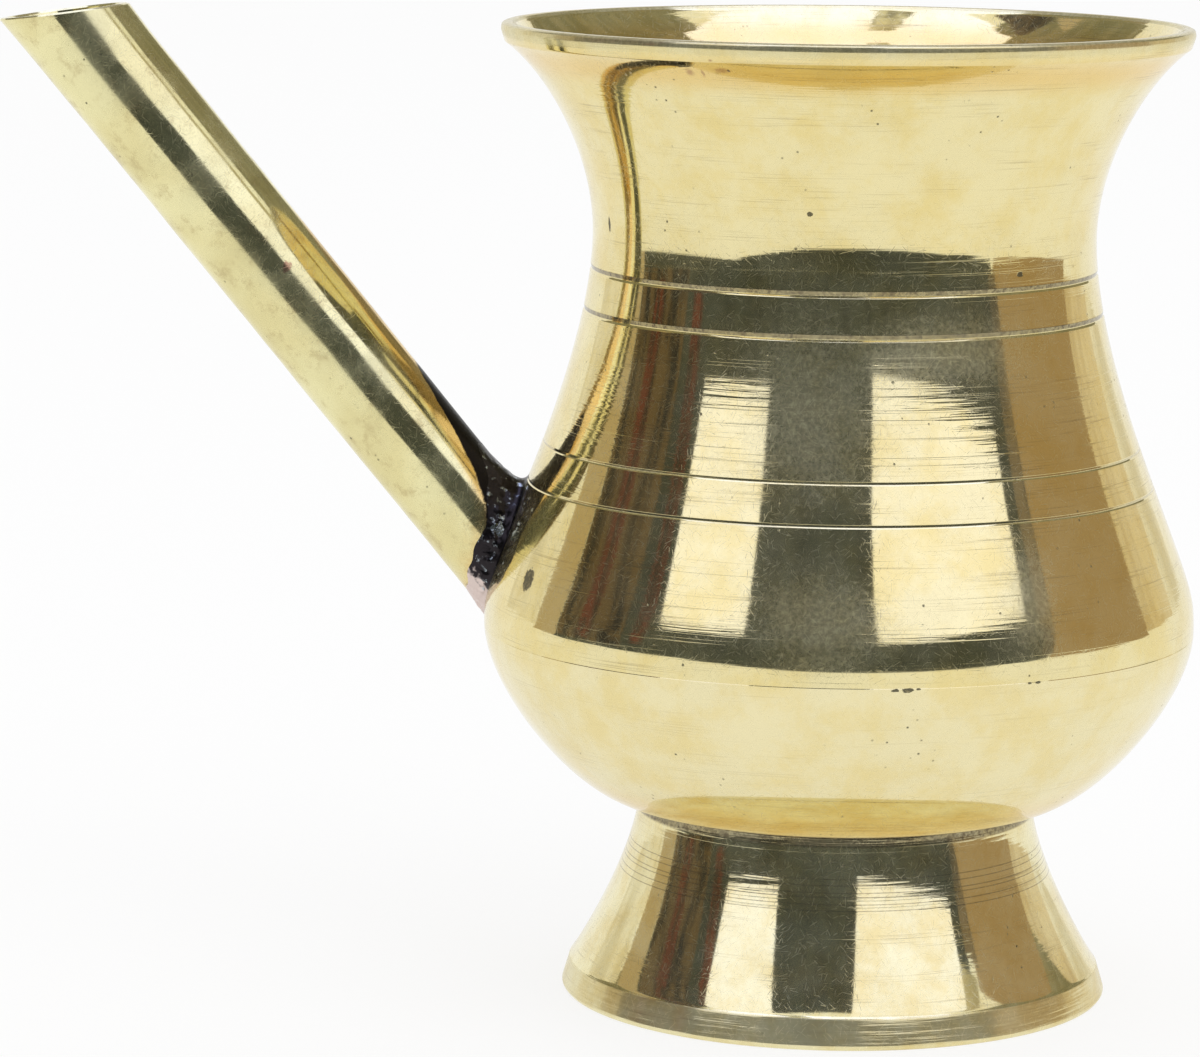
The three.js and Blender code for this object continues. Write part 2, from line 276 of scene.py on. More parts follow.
class Wire:
    """A node's output, with which sums are written as plain expressions."""

    def __init__(self, nodes, socket):
        self.nodes = nodes
        self.socket = socket

    def out(self, name):
        """Another output of the same node."""
        return Wire(self.nodes, self.socket.node.outputs[name])

    def math(self, operation, *others):
        values = {f"n{i}": value for i, value in enumerate((self, *others))}
        return self.nodes.node("ShaderNodeMath", {"operation": operation}, **values)

    def __add__(self, other):
        return self.math("ADD", other)

    __radd__ = __add__

    def __mul__(self, other):
        return self.math("MULTIPLY", other)

    __rmul__ = __mul__

    def __sub__(self, other):
        return self.math("SUBTRACT", other)

    def __rsub__(self, other):
        return (self * -1.0) + other

    def __truediv__(self, other):
        return self.math("DIVIDE", other)

    def rise(self, low, high):
        """Nothing below a low value and 1 above a high one, with a smooth rise between.

        The low value may be above the high one."""
        smooth = {"interpolation_type": "SMOOTHSTEP"}
        return self.nodes.node("ShaderNodeMapRange", smooth, n0=self, n1=low, n2=high, n3=0.0, n4=1.0)


def new_material(name):
    material = bpy.data.materials.new(name)
    material.use_nodes = True
    material.node_tree.nodes.clear()
    return material, Nodes(material.node_tree)


def object_place(s):
    return s.node("ShaderNodeTexCoord", output="Object")


def turned_place(s, height, turns):
    """Coordinates for marks left by turning, of a height in metres and drawn out round the axis."""
    centred = s.vector("SUBTRACT", object_place(s), AXIS * MM)
    x = s.node("ShaderNodeSeparateXYZ", Vector=centred)
    y, z = x.out("Y"), x.out("Z")
    radius = (x * x + y * y).math("SQRT").math("MAXIMUM", 1e-5)
    return s.combine(x / radius * turns, y / radius * turns, z / height)


def scratches(s, cell, width, share):
    """Straight scratches in the surface, one in a share of the cells, each turned its own way."""
    length = 0.42
    place = s.node("ShaderNodeVectorMath", {"operation": "SCALE"}, n0=object_place(s), Scale=1 / cell)
    normal = s.node("ShaderNodeNewGeometry", output="Normal")
    cells = s.node("ShaderNodeTexVoronoi", None, "Color", Vector=place, Scale=1.0)
    way = s.vector("SUBTRACT", cells, (0.5, 0.5, 0.5))
    way = s.vector("NORMALIZE", s.vector("CROSS_PRODUCT", normal, way))
    across = s.vector("CROSS_PRODUCT", normal, way)
    local = s.vector("SUBTRACT", place, cells.out("Position"))
    off = s.vector("DOT_PRODUCT", local, across, "Value").math("ABSOLUTE")
    reach = s.vector("DOT_PRODUCT", local, way, "Value").math("ABSOLUTE")
    chosen = s.node("ShaderNodeSeparateColor", None, "Green", Color=cells)
    line = off.rise(width / cell, width / cell * 0.3) * reach.rise(length, length * 0.7)
    return line * chosen.math("LESS_THAN", share)


def hairlines(s, *kinds):
    """Scratches of two kinds, each as the size of its cells, its width and its share of the cells."""
    first, second = (scratches(s, cell * MM, width * MM, share) for cell, width, share in kinds)
    return first.math("MAXIMUM", second)


def specks(s, cell, widest, patch, low, high):
    """Tiny pits, one to a cell of a size, in patches of another size, where noise rises from low to high."""
    place = object_place(s)
    seeds = s.node("ShaderNodeTexVoronoi", None, "Distance", Vector=place, Scale=1 / (cell * MM))
    return seeds.rise(widest, 0.05) * s.noise(place, patch * MM, 2.0).rise(low, high)


def spots(s, places, ragged=0.25):
    """How near the surface is to any of some spots: 0 in a middle, 1 at an edge.

    A spot is its bearing in degrees from the camera's side, its height, and half its width and height."""
    wander = s.vector("SUBTRACT", s.noise(object_place(s), 0.4 * MM, 2.0, 0.6, "Color"), (0.5, 0.5, 0.5))
    wander = s.vector("MULTIPLY", wander, (ragged * 4,) * 3)
    deep = 6 * MM
    nearest = None
    for bearing, height, wide, tall in places:
        turn = math.radians(bearing)
        radius = shell_radius(height)
        centre = (AXIS + Vector((math.sin(turn) * radius, -math.cos(turn) * radius, height))) * MM
        local = s.node(
            "ShaderNodeMapping", {"vector_type": "TEXTURE"}, Vector=object_place(s), Location=centre,
            Rotation=(0, 0, turn), Scale=(wide * MM, deep, tall * MM),
        )
        away = s.vector("LENGTH", s.vector("ADD", local, wander), output="Value")
        nearest = away if nearest is None else nearest.math("MINIMUM", away)
    return nearest


# Brass reflects these colours where it is bright, mellowed, deep gold (on the bowl, a painted reflection of
# the foot) and worn
PALE_BRASS = (0.86, 0.76, 0.42)
GOLD_BRASS = (0.82, 0.68, 0.3)
DEEP_GOLD_BRASS = (0.82, 0.58, 0.2)
WORN_BRASS = (0.55, 0.42, 0.16)

# And these where it is tarnished, pitted and darkened along lines
BROWN_STAIN = (0.16, 0.1, 0.045)
WARM_STAIN = (0.42, 0.24, 0.12)
PIT, PIT_EDGE = (0.05, 0.045, 0.03), (0.32, 0.26, 0.13)
DARK_LINE_TONE = (0.11, 0.075, 0.04)

# The haze over the polish
GREY_HAZE, HAZE_ROUGHNESS, MOST_HAZE = (0.6, 0.63, 0.48), 0.5, 0.8

# The spout's brass, its stains and the torch's marks on it
SPOUT_PALE, SPOUT_GOLD, SPOUT_STAIN = (0.86, 0.8, 0.45), (0.78, 0.7, 0.36), (0.52, 0.42, 0.2)
AMBER_TINT, SOOT_BLACK, RED_BLUSH = (0.77, 0.52, 0.18), (0.02, 0.017, 0.017), (0.42, 0.18, 0.12)

# The braze round the spout's root
# The silvery tone is partly bare braze and partly painted glints
DARK_BRAZE, GLINT_AND_BARE_BRAZE, COPPER_BRAZE = (0.03, 0.026, 0.028), (0.42, 0.47, 0.5), (0.76, 0.64, 0.59)

# The lip's worn outer side starts and is full at these radii
WORN_FROM, WORN_FULL = 33.7, 33.8

# The small red blush on the spout
BLUSH_PLACE = tuple(spout_point(5.45, math.radians(-69), 35.8) * MM)


def between(value, low, high, soft):
    """1 where a value lies between two others, with soft ends."""
    return value.rise(low - soft, low + soft) * value.rise(high + soft, high - soft)


def tool_lines(s, height, turns=0.7):
    """Thin lines that a turning tool left all the way round."""
    return s.noise(turned_place(s, height * MM, turns), 1.0, 2.0, 0.6).rise(0.58, 0.72)


def turned_brass(name, pale=PALE_BRASS, gold=GOLD_BRASS, marked=(), band=None, worn=None, haze=0.12,
                 streak=1.0, clouds=(), dark_lines=(), pits=(), stains=(), deep_gold_band=None):
    """Brass turned on a lathe, polished and used: turning marks, haze, scratches, dark lines and pits.

    Tool marks are stronger between the heights in marked, and below the height of band they are rough.
    The metal is worn above a height, hazier in clouds, and darkened round each height in dark_lines. Between
    the heights in deep_gold_band it has a deeper gold, a painted reflection of the foot on the bowl, and
    stains are warmer spots."""
    material, s = new_material(name)
    place = object_place(s)
    z = s.node("ShaderNodeSeparateXYZ", Vector=place).out("Z") * (1 / MM)

    mellow = s.noise(place, 6 * MM, 5.0, 0.68).rise(0.36, 0.68)
    tone = s.mix(mellow, pale, gold)
    if deep_gold_band:
        # A deeper gold between two heights; on the bowl it is a painted reflection of the foot
        tone = s.mix(between(z, *deep_gold_band) * 0.7, tone, DEEP_GOLD_BRASS)

    bands = s.noise(turned_place(s, 3.0 * MM, 0.9), 1.0, 2.0).rise(0.44, 0.64)
    lines = tool_lines(s, 0.16, 0.2 if band else 0.7)
    for low, high in marked:
        bands = bands.math("MAXIMUM", between(z, low, high, 0.5) * 1.5)
    waves = s.noise(turned_place(s, 0.4 * MM, 2.6), 1.0, 2.0, 0.55)
    fine = s.noise(turned_place(s, 0.12 * MM, 3.0), 1.0, 2.0, 0.6)

    brushed = fine.rise(0.52, 0.7) * s.noise(turned_place(s, 1.6 * MM, 2.4), 1.0, 3.0).rise(0.46, 0.64)
    tone = s.mix(brushed * 0.28 * streak, tone, BROWN_STAIN)

    cloudy = s.noise(place, 7 * MM, 4.0, 0.62).rise(0.36, 0.64)
    rubbed = s.noise(place, 0.45 * MM, 4.0, 0.7).rise(0.36, 0.72)
    hairs = hairlines(s, (1.3, 0.045, 0.8), (0.8, 0.035, 0.7))
    hazy = (cloudy * 0.8 + 0.6) * (rubbed * 0.5 + 0.7) * haze + hairs * 0.2
    if clouds:
        hazy = hazy + spots(s, clouds, 0.35).rise(1.7, 0.1) * (rubbed * 0.22 + 0.24)
    if worn:
        off_axis = s.vector("SUBTRACT", place, s.combine(AXIS_X * MM, 0.0, z * MM))
        outer = s.vector("LENGTH", off_axis, output="Value").rise(WORN_FROM * MM, WORN_FULL * MM)
        lip = z.rise(worn - 0.3, worn + 0.3) * outer
        tone = s.mix(lip * rubbed.rise(0.6, 1.0) * 0.25, tone, WORN_BRASS)
        hazy = hazy + lip * (rubbed * 0.2 + 0.36)

    peppered = specks(s, 1.3, 0.14, 7, 0.52, 0.68)
    if pits:
        peppered = peppered.math("MAXIMUM", spots(s, pits).rise(1.0, 0.75))
    tone = s.mix(peppered * 0.85, tone, s.mix(rubbed.rise(0.4, 0.9), PIT, PIT_EDGE))
    if stains:
        tone = s.mix(spots(s, stains).rise(1.3, 0.2) * 0.7, tone, WARM_STAIN)
    # Darker lines round the given heights: along the grooves, the foot's seam and its tool lines
    for height, reach, share in dark_lines:
        near = (z - height).math("ABSOLUTE").rise(reach, reach * 0.6)
        tone = s.mix(near * (rubbed * 0.4 + 0.6) * share, tone, DARK_LINE_TONE)
        hazy = hazy + near * 0.1 * share

    turning = bands * 0.9 + 0.1
    height = (waves * 11.0 + lines * 3.6) * turning - peppered * 12.0 - hairs * 0.7
    scored = fine * 0.4
    grey = 0.3
    if band:
        inside = z.rise(band + 0.05, band - 0.05)
        grey = 0.3 - inside * 0.28
        scored = fine * (inside * 8.0 + 0.4) + waves * inside * 40.0
        hazy = hazy + inside * 0.38
    rough = brushed * 0.12 * streak + peppered * 0.4 + hazy * 0.1 + 0.04
    s.hazy_metal(tone, hazy.math("MINIMUM", MOST_HAZE), rough, s.relief(height + scored), grey)
    return material


def spout_metal():
    """The spout's brass, blackened and tinted amber by the torch towards its root."""
    material, s = new_material("heat tinted brass of the spout")
    place = object_place(s)
    ragged = s.noise(place, 1.3 * MM, 4.0, 0.65) - 0.5
    soot = s.mark("soot") + ragged * 2.2
    amber = s.mark("amber") + ragged * 4.0
    mellow = s.noise(place, 11 * MM, 3.0, 0.55).rise(0.4, 0.64)
    tone = s.mix(mellow, SPOUT_PALE, SPOUT_GOLD)
    stained = s.noise(place, 2.4 * MM, 5.0, 0.7).rise(0.5, 0.72)
    tone = s.mix(stained * 0.6, tone, SPOUT_STAIN)
    tone = s.mix(amber.rise(-2.0, 3.0) * 0.85, tone, AMBER_TINT)
    black = soot.rise(-0.3, 0.5)
    tone = s.mix(black, tone, SOOT_BLACK)
    away = s.vector("DISTANCE", place, BLUSH_PLACE, "Value") * (1 / MM)
    tone = s.mix((away + ragged * 1.8).rise(0.6, 0.35) * 0.75, tone, RED_BLUSH)
    peppered = specks(s, 1.6, 0.12, 6, 0.5, 0.64)
    tone = s.mix(peppered * 0.8, tone, PIT)
    rubbed = s.noise(place, 0.3 * MM, 3.0, 0.7).rise(0.4, 0.72)
    cloudy = s.noise(place, 6 * MM, 3.0, 0.6).rise(0.38, 0.62)
    hairs = hairlines(s, (1.4, 0.05, 0.9), (0.9, 0.04, 0.8))
    waves = s.noise(place, 3.0 * MM, 2.0)
    grain = s.noise(place, 0.45 * MM, 3.0, 0.6)
    height = waves * 7.0 + grain * 0.9 - hairs * 1.2 - peppered * 8.0
    height = height + black * s.noise(place, 0.35 * MM, 3.0) * 22.0
    hazy = (rubbed * 0.14 + cloudy * 0.22 + hairs * 0.22 + 0.06).math("MAXIMUM", black * 0.75)
    s.hazy_metal(tone, hazy, cloudy * 0.06 + 0.08, s.relief(height), 0.12 - black * 0.12)
    return material


def joint_braze():
    """Lumpy braze under a dark heat stain, with silvery lumps that are partly bare braze and partly painted
    glints, a painted highlight line along its edge, and a coppery end.
    """
    material, s = new_material("heat stained braze")
    place = object_place(s)
    lumps = s.noise(place, 0.9 * MM, 4.0, 0.6)
    # Silvery tone on the high lumps: partly bare braze, partly painted glints
    glints_and_bare = lumps.rise(0.57, 0.7)
    # A painted highlight line along the skirt's edge, in the same silvery tone
    edge = s.mark("edge").rise(0.3, 0.6)
    glints_and_bare = glints_and_bare.math("MAXIMUM", edge * s.noise(place, 2.5 * MM, 3.0).rise(0.4, 0.5))
    tone = s.mix(glints_and_bare, DARK_BRAZE, GLINT_AND_BARE_BRAZE)
    copper = (s.mark("copper") + (s.noise(place, 0.8 * MM, 3.0) - 0.5) * 0.6).rise(0.42, 0.55)
    tone = s.mix(copper, tone, COPPER_BRAZE)
    height = lumps * 60.0 + s.noise(place, 0.25 * MM, 3.0) * 16.0
    rough = 0.3 - glints_and_bare * 0.1 + copper * 0.22
    s.finish(s.metal(tone, rough, s.relief(height)))
    return material


def seam_braze():
    """The darkened line of braze in the seam over the foot."""
    material, s = new_material("darkened braze of the foot seam")
    patches = s.noise(object_place(s), 1.2 * MM, 4.0, 0.7)
    tone = s.node("ShaderNodeValToRGB", {"stops": [
        (0.4, (0.015, 0.012, 0.008)), (0.54, (0.06, 0.045, 0.022)), (0.68, (0.25, 0.2, 0.09)),
    ]}, n0=patches)
    s.finish(s.metal(tone, 0.32, s.relief(patches, unit=0.05)))
    return material


# Pits and hazy places that the photograph shows, as bearing, height, half width and half height
PITS = [
    (-61.8, 45.0, 1.15, 1.25), (8.9, 38.0, 0.4, 0.16), (10.8, 38.0, 0.6, 0.24), (12.5, 38.1, 0.25, 0.12),
    (30.9, 38.1, 0.25, 0.12), (32.4, 38.1, 0.35, 0.15), (-7.4, 83.0, 0.35, 0.25), (42.3, 76.7, 0.45, 0.3),
    (-19.6, 97.2, 0.16, 0.14), (-66, 80.2, 0.3, 0.9),
]
STAINS = [
    (-26.8, 96.9, 0.5, 0.45), (-24.4, 96.8, 0.2, 0.4), (-20.8, 97.2, 0.9, 0.3), (-22, 98.2, 0.25, 0.15),
]
HAZE = [(-5, 64, 5.5, 8), (21, 69.5, 11, 3), (-3, 44, 6, 4.5), (33, 46, 3, 5)]

# Dark lines in the grooves and on the foot, as height, reach and share
GROOVE_LINES = [(groove[0] + 0.27, 0.28, 1.0) for groove in GROOVES[:2]]
GROOVE_LINES += [(groove[0] + 0.06, 0.14, 0.35) for groove in GROOVES[2:]]
TOOL_LINES = [(z, 0.06, 0.6) for z in (12.9, 13.5, 14.2, 14.6, 15.3, 15.9)]
FOOT_SEAM_LINE = (19.7, 0.9, 1.0)

BODY_BRASS = turned_brass(
    "turned brass of the body", marked=[(41.5, 46), (58.5, 66.5)], worn=98.7, clouds=HAZE,
    dark_lines=GROOVE_LINES, pits=PITS, stains=STAINS, deep_gold_band=(95.4, 98, 1.2),
)
# The bowl's deeper gold just above the foot is a painted reflection of the foot
BOWL_BRASS = turned_brass(
    "turned brass of the bowl", (0.87, 0.78, 0.47), (0.84, 0.71, 0.35), streak=0.5, pits=PITS[1:6],
    deep_gold_band=(18, 23, 2),
)
FOOT_BRASS = turned_brass(
    "turned brass of the foot", (0.88, 0.81, 0.5), (0.8, 0.67, 0.32), marked=[(12.6, 16.2), (17.6, 20)],
    band=3.1, haze=0.14, dark_lines=[FOOT_SEAM_LINE, *TOOL_LINES],
)
SPOUT_METAL = spout_metal()
JOINT_BRAZE = joint_braze()
SEAM_BRAZE = seam_braze()


def lathe_tree():
    """Turns a profile, given as a chain of points, about the vertical axis, a little out of true."""
    tree = bpy.data.node_groups.new("turn on the lathe", "GeometryNodeTree")
    face = tree.interface
    face.new_socket("Profile", in_out="INPUT", socket_type="NodeSocketGeometry")
    kinds = {"Steps": "NodeSocketInt", "Out of true": "NodeSocketFloat", "Material": "NodeSocketMaterial"}
    sockets = {n: face.new_socket(n, in_out="INPUT", socket_type=kind) for n, kind in kinds.items()}
    face.new_socket("Turned", in_out="OUTPUT", socket_type="NodeSocketGeometry")
    t = Nodes(tree)
    wander_size, merge_reach = 16 * MM, 1e-6
    profile = t.node("NodeGroupInput")
    steps = profile.out("Steps")
    count = t.node(
        "GeometryNodeAttributeDomainSize", {"component": "MESH"}, "Point Count", Geometry=profile,
    )
    grid = t.node("GeometryNodeMeshGrid", Size_X=1.0, Size_Y=1.0, Vertices_X=steps + 1, Vertices_Y=count)
    index = t.node("GeometryNodeInputIndex")
    angle = (index / count).math("FLOOR") / steps * (2 * math.pi)
    point = t.node(
        "GeometryNodeSampleIndex", {"data_type": "FLOAT_VECTOR"}, Geometry=profile,
        Value=t.node("GeometryNodeInputPosition"), Index=index.math("MODULO", count),
    )
    radius = t.node("ShaderNodeSeparateXYZ", Vector=point)
    across, ahead, height = angle.math("COSINE"), angle.math("SINE"), radius.out("Z")
    place = t.combine(across * radius, ahead * radius, height)
    swell = (t.noise(place, wander_size, 1.0) - 0.5) * profile.out("Out of true")
    radius = radius + swell * (radius * 100.0).math("MINIMUM", 1.0)
    place = t.combine(across * radius + AXIS_X * MM, ahead * radius, height)
    turned = t.node("GeometryNodeSetPosition", Geometry=grid, Position=place)
    merged = t.node("GeometryNodeMergeByDistance", Geometry=turned, Distance=merge_reach)
    real = t.node("GeometryNodeRealizeInstances", Geometry=merged)
    finished = t.node("GeometryNodeSetMaterial", Geometry=real, Material=profile.out("Material"))
    t.node("NodeGroupOutput", Turned=finished)
    return tree, {name: socket.identifier for name, socket in sockets.items()}


LATHE, LATHE_INPUTS = lathe_tree()


def plain_piece(name, mesh, material=None):
    """An object made from a mesh."""
    piece = bpy.data.objects.new(name, mesh)
    bpy.context.scene.collection.objects.link(piece)
    if material:
        mesh.materials.clear()
        mesh.materials.append(material)
    return piece


def point_outwards(mesh):
    """Faces point outwards, smooth but for the creases."""
    form = bmesh.new()
    form.from_mesh(mesh)
    bmesh.ops.recalc_face_normals(form, faces=form.faces)
    form.to_mesh(mesh)
    form.free()
    mesh.polygons.foreach_set("use_smooth", [True] * len(mesh.polygons))
    mesh.set_sharp_from_angle(angle=CREASE)


def turned_piece(name, profile, material, out_of_true=OUT_OF_TRUE):
    """A piece turned from a profile of (radius, height) that closes on itself or ends on the axis."""
    if profile[0][0] > 0:
        profile = profile + profile[:1]
    chain = bpy.data.meshes.new(name + "_profile")
    edges = [(i, i + 1) for i in range(len(profile) - 1)]
    chain.from_pydata([(r * MM, 0, z * MM) for r, z in profile], edges, [])
    blank = plain_piece(name + "_blank", chain)
    turning = blank.modifiers.new("turning", "NODES")
    turning.node_group = LATHE
    turning[LATHE_INPUTS["Steps"]] = TURN_STEPS
    turning[LATHE_INPUTS["Out of true"]] = out_of_true * MM
    turning[LATHE_INPUTS["Material"]] = material
    shown = blank.evaluated_get(bpy.context.evaluated_depsgraph_get())
    mesh = bpy.data.meshes.new_from_object(shown)
    bpy.data.objects.remove(blank)
    point_outwards(mesh)
    return plain_piece(name, mesh, material)


def grooved(line):
    """A rising outer line with the turned grooves cut into it."""
    edge = 0.03
    clear = [
        (r, z) for r, z in line
        if all(z > g + up + 3 * edge or z < g - down - 3 * edge for g, up, down, _ in GROOVES)
    ]
    for g, up, down, depth in GROOVES:
        clear += [
            (shell_radius(g - down - edge), g - down - edge),
            (shell_radius(g - down) - edge / 2, g - down),
            (shell_radius(g) - depth, g - edge),
            (shell_radius(g) - depth, g + edge),
            (shell_radius(g + up) - edge / 2, g + up),
            (shell_radius(g + up + edge), g + up + edge),
        ]
    return sorted(clear, key=lambda point: point[1])


def upper_body():
    """The lip, flared neck, waist and shoulder, down to the seam, with the hole for the spout."""
    shoulder = [p for p in reversed(SHOULDER) if p[1] > SEAM_Z]
    flare = list(reversed(FLARE))[1:]
    outside = grooved([(shell_radius(SEAM_Z), SEAM_Z)] + shoulder + flare)
    inside = [p for p in inset(FLARE, WALL) if p[1] < HEIGHT - LIP_INSIDE_START]
    inside += inset(SHOULDER, WALL)[1:]
    rim = [(LIP_RADIUS - inward, HEIGHT - down) for inward, down in LIP_SECTION]
    lip = eased([outside[-2], LIP_UNDER, *rim, inside[0]], LIP_EASING)[1:-1]
    tongue = [
        (LAP_RADIUS - WALL / 2, SEAM_Z - LAP_HEIGHT),
        (LAP_RADIUS, SEAM_Z - LAP_HEIGHT),
        (LAP_RADIUS, SEAM_Z),
    ]
    shell = turned_piece("upper_body_shell", outside[:-1] + lip + inside + tongue, BODY_BRASS)
    cut_spout_hole(shell)
    return shell


def lower_bowl():
    """The bowl below the seam, with its dished floor."""
    under = SEAT_Z - FLOOR_DROP
    rebate = SEAM_Z - LAP_HEIGHT - LAP_FILM
    clear = 0.3
    outside = [p for p in reversed(BOWL) if p[1] < SEAM_Z - clear]
    inside = [p for p in inset(BOWL, WALL) if p[1] < rebate - clear]
    seam = [(shell_radius(SEAM_Z) - inward, SEAM_Z - down) for inward, down in SEAM_SECTION]
    dish_radius, dish_rise = FLOOR_RADIUS * DISH_SHARES[0], FLOOR_DROP * DISH_SHARES[1]
    return turned_piece("lower_bowl_shell", [
        (0, under),
        (dish_radius, under + dish_rise),
        (FLOOR_RADIUS, SEAT_Z),
        *outside,
        *seam,
        (LAP_RADIUS + LAP_FILM, SEAM_Z),
        (LAP_RADIUS + LAP_FILM, rebate),
        (shell_radius(rebate) - WALL, rebate),
        *inside,
        (dish_radius, under + WALL + dish_rise),
        (0, under + WALL),
    ], BOWL_BRASS)


def foot():
    """The hollow flared foot with the plain band at its base."""
    band = eased([
        (FOOT_RADIUS - FOOT_WALL - FOOT_BEVEL, 0),
        (FOOT_RADIUS - FOOT_BEVEL, 0),
        (FOOT_RADIUS, FOOT_BEVEL_HEIGHT),
        (SWEEP_RADIUS + BAND_LEDGE, BAND_TOP - BAND_LEDGE),
        FOOT_LOW_EDGE,
        FOOT_SWEEP[-3],
    ], FOOT_EASING)
    outside = list(reversed(FOOT_SWEEP[:-3]))
    inside = inset(FOOT_SWEEP, FOOT_WALL)
    return turned_piece("foot_shell", band + outside + inside, FOOT_BRASS)


def foot_ring():
    """The line of braze between the bowl and the foot."""
    low = SEAT_Z - FOOT_BRAZE
    hollow_reach, hollow_rise = 0.4, 0.55
    return turned_piece("foot_braze_line", [
        (FOOT_TOP_RADIUS - FOOT_WALL, low),
        (FOOT_TOP_RADIUS, low),
        (FOOT_TOP_RADIUS + FOOT_BRAZE_REACH * hollow_reach, low + FOOT_BRAZE * hollow_rise),
        (FOOT_TOP_RADIUS + FOOT_BRAZE_REACH, SEAT_Z),
        (FOOT_TOP_RADIUS - FOOT_WALL, SEAT_Z),
    ], SEAM_BRAZE, FOOT_BRAZE_OUT_OF_TRUE)


def leaves_body(radius, angle, gap=0.0):
    """How far up a line beside the spout's axis the line leaves the body, found by halving."""
    low, high, halvings = -16.0, 16.0, 24
    for _ in range(halvings):
        middle = (low + high) / 2
        point = spout_point(radius, angle, middle)
        if math.hypot(point.x - AXIS_X, point.y) < shell_radius(point.z) + gap:
            low = middle
        else:
            high = middle
    return low


def skin(name, rings, material, marks=None):
    """A closed form over rings of points that follow each other and close on themselves."""
    size = len(rings[0])
    verts = [tuple(point * MM) for ring in rings for point in ring]
    faces = []
    for i in range(len(rings)):
        k = (i + 1) % len(rings)
        for j in range(size):
            m = (j + 1) % size
            faces.append((i * size + j, i * size + m, k * size + m, k * size + j))
    mesh = bpy.data.meshes.new(name)
    mesh.from_pydata(verts, [], faces)
    for mark, values in (marks or {}).items():
        mesh.attributes.new(mark, "FLOAT", "POINT").data.foreach_set("value", values)
    point_outwards(mesh)
    return plain_piece(name, mesh, material)


def cut_spout_hole(shell):
    """Cuts the hole that the spout opens into through the body's wall."""
    around, length = 96, 30 * MM
    bore = (SPOUT_ROOT_RADIUS - SPOUT_WALL) * MM
    form = bmesh.new()
    bmesh.ops.create_cone(
        form, cap_ends=True, segments=around, radius1=bore, radius2=bore, depth=length,
        matrix=Matrix.Translation(SPOUT_FRAME.translation * MM) @ SPOUT_FRAME.to_3x3().to_4x4(),
    )
    mesh = bpy.data.meshes.new("spout_drill")
    form.to_mesh(mesh)
    form.free()
    drill = plain_piece("spout_drill", mesh)
    cut = shell.modifiers.new("spout hole", "BOOLEAN")
    cut.operation = "DIFFERENCE"
    cut.object = drill
    shown = shell.evaluated_get(bpy.context.evaluated_depsgraph_get())
    drilled = bpy.data.meshes.new_from_object(shown)
    shell.modifiers.remove(cut)
    shell.data = drilled
    bpy.data.objects.remove(drill)


def torch_mark(climb, angle, up):
    """How far inside one of the torch's marks a place is, by its angle from the crotch."""
    all_round, crotch, spread = climb
    return all_round + crotch * math.exp(-(angle / spread) ** 2) - up


def spout():
    """The tapered tube, coped to the body at its root and cut almost level at its mouth."""
    around, up_steps, root_gap = 144, 64, 0.3
    rise = -math.tan(SPOUT_TILT - MOUTH_SLOPE)
    easing = SPOUT_EASING
    rings, soot, amber = [], [], []

    # The section of the wall, up its outside, over the rim and down its inside, as share of the way up,
    # depth in from the outside and height over the eased edge
    outer = [(i / up_steps, 0.0, 0.0) for i in range(up_steps + 1)]
    rim = [
        (1.0, easing * 0.3, easing * 0.3),
        (1.0, easing, easing * 0.9),
        (1.0, SPOUT_WALL - easing, easing * 0.9),
    ]
    inner = [(i / up_steps, SPOUT_WALL, 0.0) for i in reversed(range(up_steps + 1))]
    for share, depth, over in outer + rim + inner:
        ring = []
        for i in range(around):
            angle = 2 * math.pi * i / around
            flare = max(0.0, 1 - (1 - share) * SPOUT_LENGTH / SPOUT_FLARE) ** FLARE_POWER
            radius = SPOUT_ROOT_RADIUS + (SPOUT_NECK_RADIUS - SPOUT_ROOT_RADIUS) * share
            radius += (SPOUT_TIP_RADIUS - SPOUT_NECK_RADIUS) * flare - depth
            root = leaves_body(SPOUT_ROOT_RADIUS - depth, angle, root_gap)
            top = SPOUT_LENGTH + radius * math.cos(angle) * rise - easing + over
            up = root + (top - root) * share
            point = spout_point(radius, angle, up)
            dent = noise.noise(point * 0.09) * 0.06 + noise.noise(point * 0.3) * 0.015
            ring.append(spout_point(radius + dent, angle, up))
            off = min(angle, 2 * math.pi - angle)
            soot.append(torch_mark(SOOT_CLIMB, off, up - root))
            amber.append(torch_mark(AMBER_CLIMB, off, up - root))
        rings.append(ring)
    return skin("spout_tube_shell", rings, SPOUT_METAL, {"soot": soot, "amber": amber})


